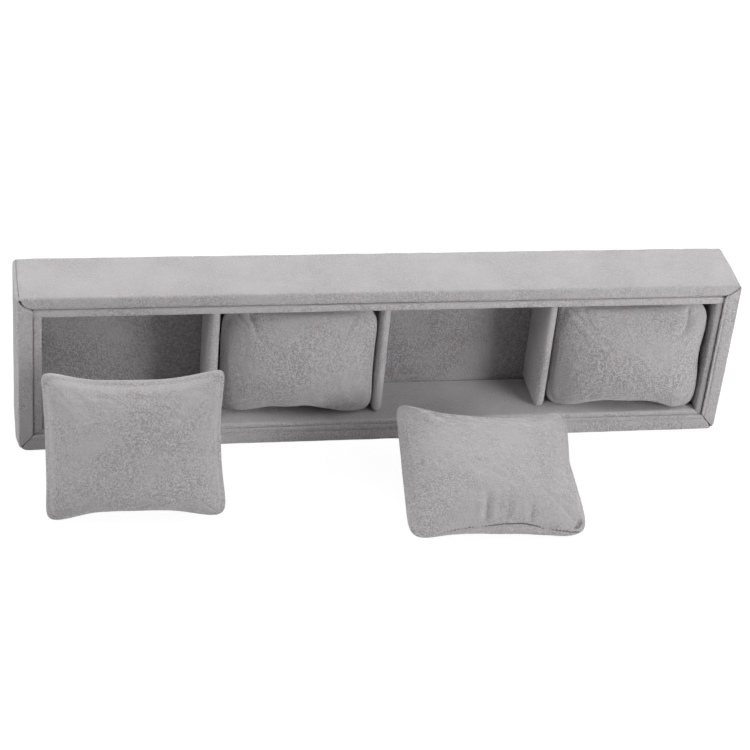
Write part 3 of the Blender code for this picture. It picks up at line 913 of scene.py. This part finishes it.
def make_pillow(name, node, shape):
    """A pillow from its outline, its simulated cloth, its folds and its place in the scene."""
    columns, rows, rings = 2 * PANEL_COLUMNS, 2 * PANEL_ROWS, 2 * EDGE_RINGS
    points, rest, faces, loops = pillow_mesh(shape, columns, rows, rings)
    panels = 2 * (columns + 1) * (rows + 1)
    moves = np.zeros_like(points)
    moves[:panels] = cloth_moves(shape, name)
    moves[loops[1]] = 0.5 * moves[loops[0]]
    moves[loops[-2]] = 0.5 * moves[loops[-1]]
    points = points + moves
    u, v = share_grid(columns, rows)
    points[: panels // 2, 1] -= fold_height(shape, u, v).ravel()
    if "closing_seam" in shape:
        press_seam(shape, points, loops, columns)
        press_tuck(points, loops, columns, rows)
    lean, turn, spin = (radians(angle) for angle in shape["angles"])
    place = (
        Matrix.Translation(Vector(shape["place"]))
        @ Matrix.Rotation(turn, 4, "Z")
        @ Matrix.Rotation(lean - 0.5 * pi, 4, "X")
        @ Matrix.Rotation(-spin, 4, "Y")
    )
    front = place.to_3x3() @ Vector((0.0, 1.0, 0.0))
    low, high = shape["limits"]

    def settled(point):
        p = place @ Vector(point)
        p += front * (np.sign(point[1]) * WAVE * noise.fractal(p * 60.0, 0.9, 2.0, 2))
        return [min(max(p[k], low[k]), high[k]) for k in range(3)]

    obj = grid_object(name, [settled(point) for point in points], faces, pillow_velvet)
    smooth = obj.modifiers.new("Smooth", "SUBSURF")
    smooth.levels = 1
    smooth.render_levels = 1
    body_piece(obj, "pillow_velvet", node)
    if "closing_seam" in shape:
        # The seam's thread, with its tail in the tuck as painted shade
        tube, tube_faces = stitch_line(shape, points, loops, columns)
        tube = [settled(point) for point in tube]
        thread = grid_object(name + "_stitches_and_slit_shade", tube, tube_faces, thread_look)
        body_piece(thread, "pillow_velvet")


# A limit that nothing reaches, and the room beside a compartment's walls
FREE = 1.0
CLEAR = 0.0003


def compartment_limits(index, swell):
    """Space of a compartment whose divider on the left is thicker by a swell."""
    left = -HALF_LENGTH + RIM + index * (COMPARTMENT + DIVIDER)
    low = (left + swell + CLEAR, -FREE, RIM + CLEAR)
    high = (left + COMPARTMENT - CLEAR, FRONT_Y + LINER_REAR, HEIGHT - RIM - CLEAR)
    return low, high


LOOSE_LIMITS = ((-FREE, -FREE, 0.0), (FREE, FREE, FREE))
# size: width, height and thickness of the plain pillow, in metres
# corners: (across, up) to millimetres (right, up) from a plain rectangle's corner
# bows: left, right, top, bottom edge as (millimetres inward, sharpness, place of its middle)
# lobes: edge, place and width in shares, and millimetres inward
# powers: squareness of the top left, top right, bottom left and bottom right corner
# folds: (across, up) to (across, up) in shares, then half-width and height in millimetres
# closing_seam: shares across and millimetres above the near edge; stitched: its ends in shares
# angles: lean from flat, turn about the upright and spin in the pillow's own plane, in degrees
PILLOWS = {
    "pillow_front_left": {
        "size": (0.0818, 0.0725, 0.039),
        "fullness": 0.47,
        "corners": {(-1, 1): (0.1, 0.9), (1, 1): (0.9, -0.1), (-1, -1): (-0.1, 1.1), (1, -1): (1.5, 0.3)},
        "bows": ((1.0, 3.7, 0.0), (2.3, 2.6, 0.07), (4.4, 3.1, -0.02), (4.7, 3.0, -0.02)),
        "powers": (24.0, 30.0, 15.0, 11.0),
        "folds": (
            (1.05, 1.0, 0.4, 0.3, 3.2, 1.0), (0.8, 1.0, 0.35, 0.55, 2.2, -0.8),
            (-1.05, 1.05, -0.5, 0.4, 3.5, 0.8), (-0.78, 1.02, -0.45, 0.62, 2.2, -0.6),
            (1.02, -1.0, 0.5, -0.4, 3.2, 0.8), (-1.02, -1.0, -0.55, -0.45, 3.2, 0.7),
            (0.62, -1.02, 0.4, -0.62, 2.0, -0.6), (0.98, 0.6, 0.62, 0.1, 2.4, -0.6),
        ),
        "place": (-0.12435, -0.0671, 0.035),
        "angles": (75.0, -3.6, 2.2),
        "limits": LOOSE_LIMITS,
    },
    "pillow_front_right": {
        "size": (0.0819, 0.0699, 0.034),
        "fullness": 0.5,
        "corners": {(-1, 1): (0.2, 5.5), (1, 1): (1.0, 1.4), (-1, -1): (0.0, -0.5), (1, -1): (3.5, 0.4)},
        "bows": ((0.0, 3.0, 0.0), (2.6, 1.2, 0.16), (7.0, 2.5, 0.06), (3.4, 2.5, -0.13)),
        "powers": (17.0, 25.0, 10.0, 8.0),
        "folds": (
            (-0.2, -1.12, -0.13, -0.58, 1.3, -1.6), (-0.11, -1.12, -0.04, -0.6, 1.3, 1.3),
            (0.04, -1.12, 0.12, -0.68, 1.15, -1.3), (0.13, -1.12, 0.21, -0.66, 1.2, 0.9),
            (0.24, -1.12, 0.31, -0.66, 1.2, 0.7), (0.33, -1.12, 0.39, -0.67, 1.4, -1.3),
            (-0.28, -1.12, -0.21, -0.64, 1.3, 1.0), (-1.02, 1.02, -0.5, 0.45, 3.2, 1.2),
            (-0.75, 1.0, -0.45, 0.6, 2.2, -0.8), (1.02, 1.0, 0.45, 0.35, 3.6, 1.0),
            (0.74, 1.0, 0.45, 0.62, 2.2, -0.7), (0.62, -0.1, 0.98, 0.2, 3.0, -0.5),
            (-1.0, -1.0, -0.55, -0.45, 3.0, 0.6),
        ),
        "closing_seam": (
            (-1.0, -0.75, -0.3, 0.25, 0.7, 0.95, 1.0),
            (0.6, 1.0, 3.2, 5.2, 3.0, 0.9, 0.6),
        ),
        "stitched": (-0.62, 0.93),
        "place": (0.04145, -0.0772, 0.0196),
        "angles": (20.0, -2.0, -1.2),
        "limits": LOOSE_LIMITS,
    },
    "pillow_in_compartment_2": {
        "size": (0.0788, 0.0625, 0.035),
        "fullness": 0.6,
        "corners": {(-1, 1): (-0.3, 0.1), (1, 1): (-0.9, 0.2), (-1, -1): (0.4, -0.6), (1, -1): (-0.5, -0.7)},
        "bows": ((1.4, 5.8, 0.33), (2.0, 3.0, -0.03), (0.6, 3.0, 0.0), (4.6, 1.2, 0.14)),
        "lobes": (("bottom", -0.72, 0.16, -1.5), ("bottom", -0.33, 0.14, 0.9)),
        "powers": (5.0, 5.2, 12.0, 6.5),
        "folds": (
            (1.0, 1.0, 0.55, 0.55, 2.6, 0.9), (0.78, 1.02, 0.62, 0.6, 1.6, -0.8),
            (-1.0, 1.0, -0.55, 0.5, 2.6, 0.8), (-0.76, 1.02, -0.6, 0.62, 1.6, -0.7),
            (0.98, -1.0, 0.6, -0.5, 2.6, 0.7), (-0.98, -1.0, -0.6, -0.5, 2.6, 0.7),
            (-0.35, -0.98, -0.42, -0.55, 2.0, -0.5), (0.45, -0.98, 0.4, -0.6, 2.0, -0.5),
        ),
        "place": (-0.0403, -0.0068, 0.0428),
        "angles": (90.0, -5.9, 0.0),
        "limits": compartment_limits(1, 0.001),
    },
    "pillow_in_compartment_4": {
        "size": (0.0764, 0.0626, 0.034),
        "fullness": 0.5,
        "corners": {(-1, 1): (0.8, 0.2), (1, 1): (-0.3, 0.8), (-1, -1): (1.0, -0.4), (1, -1): (1.5, -2.0)},
        "bows": ((-0.3, 3.0, -0.5), (0.4, 1.2, 0.0), (0.5, 3.0, 0.0), (5.6, 1.9, 0.16)),
        "lobes": (
            ("right", 0.98, 0.2, 2.2),
            ("right", 0.02, 0.4, 1.2),
            ("bottom", -1.0, 0.1, 2.2),
            ("bottom", -0.68, 0.13, -0.9),
            ("bottom", -0.35, 0.2, 1.0),
            ("bottom", 0.74, 0.14, -1.9),
        ),
        "powers": (12.0, 9.0, 16.0, 7.0),
        "folds": (
            (0.96, 1.2, 0.86, 0.5, 1.9, 1.1), (0.84, 1.22, 0.73, 0.6, 1.6, -1.7),
            (0.66, 1.02, 0.52, 0.62, 1.8, 0.6), (-1.0, 1.0, -0.6, 0.5, 2.6, 0.8),
            (-0.76, 1.02, -0.62, 0.62, 1.6, -0.6), (0.98, -1.0, 0.6, -0.5, 3.0, 0.8),
            (-0.98, -1.0, -0.62, -0.55, 2.6, 0.7), (-0.52, -0.98, -0.5, -0.6, 1.8, -0.6),
            (0.42, -0.98, 0.36, -0.55, 2.2, -0.7),
        ),
        "place": (0.1243, -0.0102, 0.0428),
        "angles": (90.0, -4.5, 0.0),
        "limits": compartment_limits(3, 0.0007),
    },
}
for name, shape in PILLOWS.items():
    make_pillow(name.replace("pillow_", "cushion_"), name, shape)


# Looks of the CAD nodes that stay

NODE_LOOKS = {
    # The back lining takes the darker velvet, as painted shade
    "back_lining_panel": shaded_lining_velvet,
    "back_board": fibreboard,
    "back_cloth": back_velvet,
}
for index in (1, 2, 3):
    NODE_LOOKS[f"divider_{index}_card"] = grey_card
for side in SIDES:
    NODE_LOOKS[f"{side}_wall_board"] = fibreboard
    NODE_LOOKS[f"{side}_liner_card"] = grey_card
for node, material in NODE_LOOKS.items():
    for material_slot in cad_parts[node].material_slots:
        material_slot.material = material


# Floor, light and camera

WHITE = (1.0, 1.0, 1.0, 1.0)


def join_looks(nodes, links, unseen, seen, output):
    """One shader for diffuse light, another for camera, glossy and transmission rays."""
    paths = nodes.new("ShaderNodeLightPath")
    direct = paths.outputs["Is Camera Ray"]
    for ray in ("Is Glossy Ray", "Is Transmission Ray"):
        either = nodes.new("ShaderNodeMath")
        either.operation = "MAXIMUM"
        links.new(direct, either.inputs[0])
        links.new(paths.outputs[ray], either.inputs[1])
        direct = either.outputs[0]
    mix = nodes.new("ShaderNodeMixShader")
    links.new(direct, mix.inputs[0])
    links.new(unseen.outputs[0], mix.inputs[1])
    links.new(seen.outputs[0], mix.inputs[2])
    links.new(mix.outputs[0], output.inputs["Surface"])


def floor_material():
    """Diffuse floor that the camera and reflections see as white, with the shadow kept."""
    material, nodes, links = new_material("floor_white")
    nodes.clear()
    output = nodes.new("ShaderNodeOutputMaterial")
    plain = new_node(nodes, "ShaderNodeBsdfDiffuse", {"Color": (0.8, 0.8, 0.8, 1.0)})
    faint = new_node(nodes, "ShaderNodeBsdfDiffuse", {"Color": (0.16, 0.16, 0.16, 1.0)})
    glow = new_node(nodes, "ShaderNodeEmission", {"Color": WHITE, "Strength": 0.94})
    seen = nodes.new("ShaderNodeAddShader")
    links.new(faint.outputs[0], seen.inputs[0])
    links.new(glow.outputs[0], seen.inputs[1])
    join_looks(nodes, links, plain, seen, output)
    return material


FLOOR_REACH = 4.0
FLOOR_LEVEL = -0.0002


def make_floor():
    around = ((-1, -1), (1, -1), (1, 1), (-1, 1))
    corners = [(FLOOR_REACH * x, FLOOR_REACH * y, FLOOR_LEVEL) for x, y in around]
    floor = grid_object("floor", corners, [(0, 1, 2, 3)], floor_material())


def make_world(strength):
    """A faint even light that the camera and reflections see as plain white."""
    world = bpy.data.worlds.new("studio")
    scene.world = world
    world.use_nodes = True
    nodes = world.node_tree.nodes
    links = world.node_tree.links
    nodes.clear()
    output = nodes.new("ShaderNodeOutputWorld")
    lit = new_node(nodes, "ShaderNodeBackground", {"Color": WHITE, "Strength": strength})
    white = new_node(nodes, "ShaderNodeBackground", {"Color": WHITE, "Strength": 1.0})
    join_looks(nodes, links, lit, white, output)


def area_light(name, place, size, power):
    light = bpy.data.lights.new(name, "AREA")
    light.energy = power
    light.size = size
    obj = bpy.data.objects.new(name, light)
    scene.collection.objects.link(obj)
    obj.location = place
    obj.rotation_euler = (Vector(LIGHT_TARGET) - Vector(place)).to_track_quat("-Z", "Y").to_euler()


def make_camera():
    ahead = cos(CAMERA_PITCH)
    forward = Vector((sin(CAMERA_YAW) * ahead, cos(CAMERA_YAW) * ahead, -sin(CAMERA_PITCH)))
    level = Vector((cos(CAMERA_YAW), -sin(CAMERA_YAW), 0.0))
    up = level.cross(forward)
    right = cos(CAMERA_ROLL) * level + sin(CAMERA_ROLL) * up
    top = -sin(CAMERA_ROLL) * level + cos(CAMERA_ROLL) * up
    data = bpy.data.cameras.new("camera")
    data.sensor_width = SENSOR_MM
    data.lens = FOCAL_PIXELS / IMAGE_PIXELS * SENSOR_MM
    camera = bpy.data.objects.new("camera", data)
    scene.collection.objects.link(camera)
    rotation = Matrix((right, top, -forward)).transposed()
    camera.matrix_world = Matrix.Translation(CAMERA_PLACE) @ rotation.to_4x4()
    scene.camera = camera


WORLD_STRENGTH = 0.05
LIGHT_TARGET = (0.0, 0.0, 0.03)
# Place, size and power of each softbox
LIGHTS = {
    "over_behind": ((0.1, 0.7, 1.1), 0.8, 12.8),
    "left": ((-1.2, -0.1, 0.6), 0.6, 7.6),
    "left_front": ((-0.7, -0.65, 0.75), 0.6, 0.5),
    "right_front_high": ((0.6, -0.6, 1.05), 0.6, 2.8),
    "right_front_low": ((0.8, -0.8, 0.35), 0.4, 6.2),
}
make_floor()
make_world(WORLD_STRENGTH)
for name, (place, size, power) in LIGHTS.items():
    area_light(name, place, size, power)
make_camera()
scene.view_settings.view_transform = "Standard"
